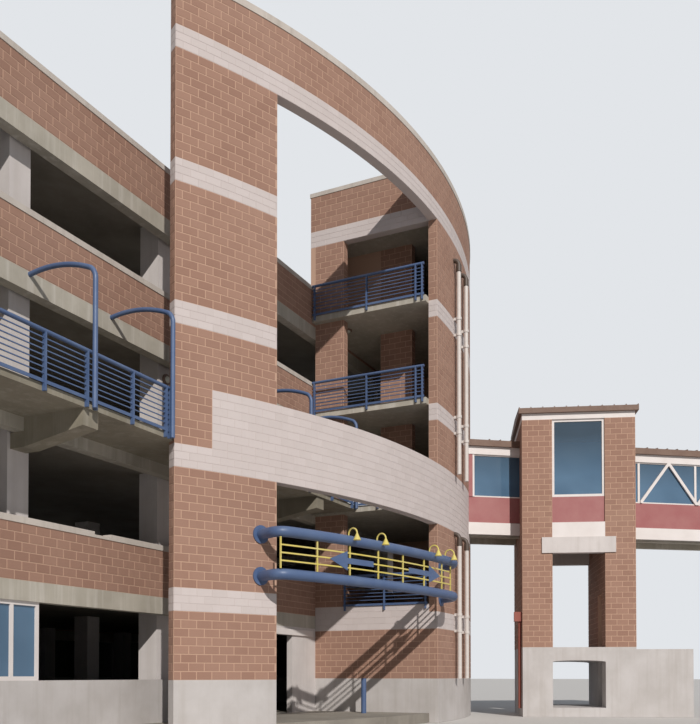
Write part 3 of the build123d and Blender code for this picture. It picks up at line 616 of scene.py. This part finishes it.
paints = {}
for name, colour, worn, rough, pieces in (
        ("blue_paint", (72, 93, 131), (98, 116, 147), 0.42,
         ("balcony_railing", "balcony_hoops", "tower_railings", "sign_tubes", "bollard")),
        ("yellow_paint", (210, 192, 94), (206, 197, 146), 0.42, ("sign_grille", "sign_lamps")),
        ("white_paint", (222, 216, 214), (206, 198, 194), 0.5,
         ("entrance_strip", "bridge_beams", "bridge_fascias", "bridge_window_frames",
          "walkway_truss", "window_frames")),
        ("red_panel", (152, 90, 90), (168, 118, 114), 0.5, ("bridge_panels",)),
        ("red_paint", (142, 74, 62), (150, 94, 80), 0.5, ("downpipe",)),
        ("brown_roof", (112, 88, 76), (134, 112, 98), 0.6, ("bridge_roofs",))):
    paints[name] = paint_finish(name, colour, worn, rough)
    paints[name].dress(*pieces)


# White pipes on the curved screen: dusty white paint, with painted shade on the elbows at the
# heads of the upper and the lower lengths, just under the pale bands, told by their heights.
upper_shade_from = 15.41
lower_shade_span = (5.95, 7.0)
pipe = Finish("white_pipe")
pipe_dust = pipe.noise(9, 4, 0.6)
pipe_white = pipe.mix(pipe.ramp(pipe_dust, 0.4, 0.8) * 0.5, tint(206, 200, 196),
                      tint(184, 177, 171))
pipe_height = pipe.height()
# Painted shade: the pipe heads under the bands are painted dark brown.
shaded_heads = ((pipe_height > upper_shade_from)
          + (pipe_height > lower_shade_span[0]) * (pipe_height < lower_shade_span[1]))
pipe.apply(pipe.mix(shaded_heads, pipe_white, tint(74, 62, 54)), 0.5,
           pipe.bump(pipe_dust, 0.0006, 0.4))
pipe.dress("white_pipes")


# Sign arrows: two plates of blue painted steel, half a metre high, fixed on the front of the
# yellow grille. They follow its curve and point to the left and to the right.
grille_radius = screen_outer + 0.8
grille_front = 0.018
plate_thickness = 0.016
plate_back = grille_radius + grille_front
plate_front = plate_back + plate_thickness
arrow_middle = base_top + 15.25 * course
arrow_neck = 0.62
shaft_half = 0.075
head_half = 0.25
tip_half = 0.003
left_arrow = (-18.9, -14.4)
right_arrow = (-9.9, -4.9)


def arrow_plate(start, end, points_left):
    """Plate along the grille's arc from one angle, in degrees, to another.

    At each station along it a ring of four points stands half a height above and below the
    middle, on two radii. The half height is even on the shaft, steps up at the neck, and falls
    evenly to the tip.
    """
    shaft = np.linspace(0, arrow_neck, 10)
    head = np.linspace(arrow_neck, 1, 8)
    share = np.concatenate([shaft, head])
    tall = np.concatenate([np.full(len(shaft), shaft_half),
                           head_half * (1 - head) / (1 - arrow_neck) + tip_half])
    if points_left:
        share = 1 - share[::-1]
        tall = tall[::-1]
    turn = np.radians(start + share * (end - start))[:, None]
    radius = np.array([plate_front, plate_front, plate_back, plate_back])[None]
    rise = tall[:, None] * np.array([1, -1, -1, 1])[None]
    ring = np.stack([radius * np.sin(turn), screen_centre_y - radius * np.cos(turn),
                     arrow_middle + rise], -1)
    last = (len(share) - 1) * 4
    i = np.arange(0, last, 4)[:, None]
    k = np.arange(4)[None]
    after = (k + 1) % 4
    sides = np.stack([i + k, i + after, i + 4 + after, i + 4 + k], -1).reshape(-1, 4)
    caps = np.array([[0, 3, 2, 1], [last, last + 1, last + 2, last + 3]])
    faces = np.concatenate([sides, caps])
    return ring.reshape(-1, 3), faces, np.zeros(len(faces))


arrows = [arrow_plate(*left_arrow, True), arrow_plate(*right_arrow, False)]
mesh_piece("sign_arrows", arrows, paints["blue_paint"])


# Round lamps of opal glass on a brown ring: one on the third column's face over the balcony, one
# under the stair tower's top floor.
ring_points = 24
ring_profile = [(0.001, 0), (0.15, 0), (0.15, 0.04), (0.1, 0.05), (0.001, 0.05)]
dome_profile = [(0.095, 0.045), (0.09, 0.07), (0.07, 0.095), (0.04, 0.108), (0.001, 0.112)]
column_lamp = ((-7.8, 0.4, 9.53), (0, -1, 0))
tower_lamp = ((0.88, -0.82, floors[3] - tower_slab), (0, 0, -1))


def turned(profile, centre, axis):
    """Surface of revolution round an axis square to X: a ring of points for each pair
    (radius, height) of the profile."""
    axis, side = np.array(axis, float), np.array((1.0, 0.0, 0.0))
    radius, height = np.array(profile).T
    turn = np.linspace(0, 2 * np.pi, ring_points, endpoint=False)
    spokes = np.cos(turn)[:, None] * side + np.sin(turn)[:, None] * np.cross(axis, side)
    points = np.array(centre) + height[:, None, None] * axis + radius[:, None, None] * spokes
    i = np.arange(len(radius) - 1)[:, None] * ring_points
    j = np.arange(ring_points)[None]
    after = (j + 1) % ring_points
    faces = np.stack([i + j, i + after, i + ring_points + after, i + ring_points + j], -1)
    faces = faces.reshape(-1, 4)
    return points.reshape(-1, 3), faces, np.zeros(len(faces))


opal = Finish("opal_glass")
opal.apply(opal.mix(opal.noise(20, 2, 0.5), tint(226, 226, 216), tint(206, 208, 196)), 0.3)
lamp_domes = [turned(dome_profile, *lamp) for lamp in (column_lamp, tower_lamp)]
lamp_rings = [turned(ring_profile, *lamp) for lamp in (column_lamp, tower_lamp)]
mesh_piece("lamp_domes", lamp_domes, opal)
mesh_piece("lamp_rings", lamp_rings, paints["brown_roof"])


# Windows: tinted blue panes in the white frames, with soft lighter patches of painted sky
# reflection. The footbridge's panes have painted shade towards their heads, where the ceiling
# stands behind them.
head_shade = (9.3, 10.9)
pane = Finish("blue_glass")
pane_reflection_waves = pane.noise(0.7, 2, 0.4)
# Painted reflection: noise blends the dark blue tint with a pale sky blue.
pane_blue_and_reflection = pane.mix(pane_reflection_waves, tint(62, 92, 120), tint(112, 146, 176))
# Painted shade: the panes darken towards their heads.
pane_head = pane.ramp(pane.height() + pane_reflection_waves * 0.8, *head_shade)
pane.apply(pane.mix(pane_head * 0.75, pane_blue_and_reflection, tint(48, 58, 66)), 0.08, Alpha=0.78, IOR=1.5)
pane.dress("window_glass", "bridge_glass")


# Bridge roofs: standing seams of the brown metal sheet, from the eaves up to the ridges of the
# tower and the walkway. Each is a low bar folded from the sheet.
seam_width = 0.03
seam_height = 0.035
seam_step = 0.43
tower_seams = 11
verge_over = 0.1
eave_over = 0.12
tower_eave, tower_ridge = bridge_head + 0.42, bridge_head + 0.56
walk_eave, walk_ridge = 10.43, 10.53
walk_roofs = ((6.5, 13.55), (0.0, 1.1))
walk_at = np.array((5.44, -4.55))
walk_turn = math.radians(-53)
walk_width = 2.4
walk_along = np.array((math.cos(walk_turn), math.sin(walk_turn)))
walk_in = np.array((-walk_along[1], walk_along[0]))


def bars(starts, ends, width, height):
    """Upright rectangular bars between pairs of points.

    Each point lies on the middle of the bar's foot. The corners are the points moved half a
    width to either side, level and square to the run, and the same raised by the height.
    """
    starts, ends = np.array(starts, float), np.array(ends, float)
    side = np.cross(ends - starts, (0, 0, 1))
    side *= width / 2 / np.linalg.norm(side, axis=1)[:, None]
    up = np.array((0, 0, height))
    corners = [foot + part for foot in (starts, ends)
               for part in (-side, side, side + up, up - side)]
    box = np.array([[0, 1, 2, 3], [5, 4, 7, 6], [0, 4, 5, 1],
                    [3, 2, 6, 7], [0, 3, 7, 4], [1, 5, 6, 2]])
    faces = (np.arange(len(starts))[:, None, None] * 8 + box).reshape(-1, 4)
    return np.stack(corners, 1).reshape(-1, 3), faces, np.zeros(len(faces))


def seams(origin, along, out, places, eave, ridge, width):
    """Bars across both slopes of a roof at places along it. Each runs from a foot beyond the
    wall, at the height of the eave, to the middle of the width, at the height of the ridge."""
    start, end, along, out = [], [], np.array((*along, 0)), np.array((*out, 0))
    for place in places:
        foot = np.array((*origin, 0)) + place * along
        for edge in (-eave_over, width + eave_over):
            start.append(foot + edge * out + (0, 0, eave))
            end.append(foot + width / 2 * out + (0, 0, ridge))
    return bars(start, end, seam_width, seam_height)


tower_places = np.linspace(-verge_over, bridge_width + verge_over, tower_seams)
seam_parts = [seams(bridge_at, across, inward, tower_places, tower_eave, tower_ridge,
                    bridge_depth)]
for first, last in walk_roofs:
    seam_parts.append(seams(walk_at, walk_along, walk_in, np.arange(first, last, seam_step),
                            walk_eave, walk_ridge, walk_width))
mesh_piece("roof_seams", seam_parts, paints["brown_roof"])


# Dark sheets: ribbed plates painted as dark steel that close the hidden sides of the ground
# storey and the end of the first storey beside the stair tower. They are painted shade, which
# keeps the sky out and makes the inside read dark. They stand on the middle of the base wall or
# the coping and reach up to the beams.
sheet_thickness = 0.03
rib_step = 0.3
rib_half = 0.02
coping_height = 0.14
ground_span = (base_top, first_floor - beam_foot_drop)
first_span = (beam_tops[0] + spandrel + coping_height, first_floor + storey - beam_foot_drop)


def sheet(start, end, out, span):
    """Plate between two places in plan, over a span of heights, with a rib on its outer side
    at every rib step along it."""
    start, end = np.array((*start, span[0])), np.array((*end, span[0]))
    length = np.linalg.norm(end - start)
    along = (end - start) / length
    feet = np.arange(rib_step, length, rib_step)[:, None] * along + start
    feet += np.array((*out, 0)) * sheet_thickness
    rise = span[1] - span[0]
    ribs = bars(feet - rib_half * along, feet + rib_half * along, 2 * rib_half, rise)
    return [bars([start], [end], sheet_thickness, rise), ribs]


# Painted shade: the dark paint on these plates stands for the dark inside of the decks.
painted_shade_steel = paint_finish("painted_shade_sheet", (66, 62, 57), (84, 79, 72), 0.6)
left_x, right_x = x0 + wall_depth / 2, x1 - wall_depth / 2
near_y, far_y, rear_y = y0 + end_clear, y1 - wall_depth, y1 - wall_depth / 2
sheet_parts = (sheet((inside_x[0], rear_y), (inside_x[1], rear_y), (0, 1), ground_span)
               + sheet((left_x, near_y), (left_x, far_y), (-1, 0), ground_span)
               + sheet((right_x, near_y), (right_x, far_y), (1, 0), ground_span)
               + sheet((right_x, near_y), (right_x, far_y), (1, 0), first_span))
mesh_piece("painted_shade_sheets", sheet_parts, painted_shade_steel)


# Walkway link: a red panel and a white post close its front window beside the curved screen,
# and a white post closes its rear wall against the back of the bridge tower.
board_thickness = 0.11
wall_line = 0.085
panel_span = (-0.84, -0.64)
post_span = (-0.64, -0.57)
end_post_span = (3.45, 4.05)
link_heights = (8.29, pass_heights[1])
end_post_heights = (7.2, 9.95)


def walk_bar(span, y, heights):
    """Upright board in a wall of the walkway, over a span along it and y inward."""
    low, high = heights
    feet = [(*(walk_at + s * walk_along + y * walk_in), low) for s in span]
    return bars(feet[:1], feet[1:], board_thickness, high - low)


mesh_piece("link_panel", [walk_bar(panel_span, wall_line, link_heights)],
           paints["red_panel"])
mesh_piece("link_post", [walk_bar(post_span, wall_line, link_heights)],
           paints["white_paint"])
end_post = walk_bar(end_post_span, walk_width - wall_line, end_post_heights)
mesh_piece("walkway_end_post", [end_post], paints["white_paint"])
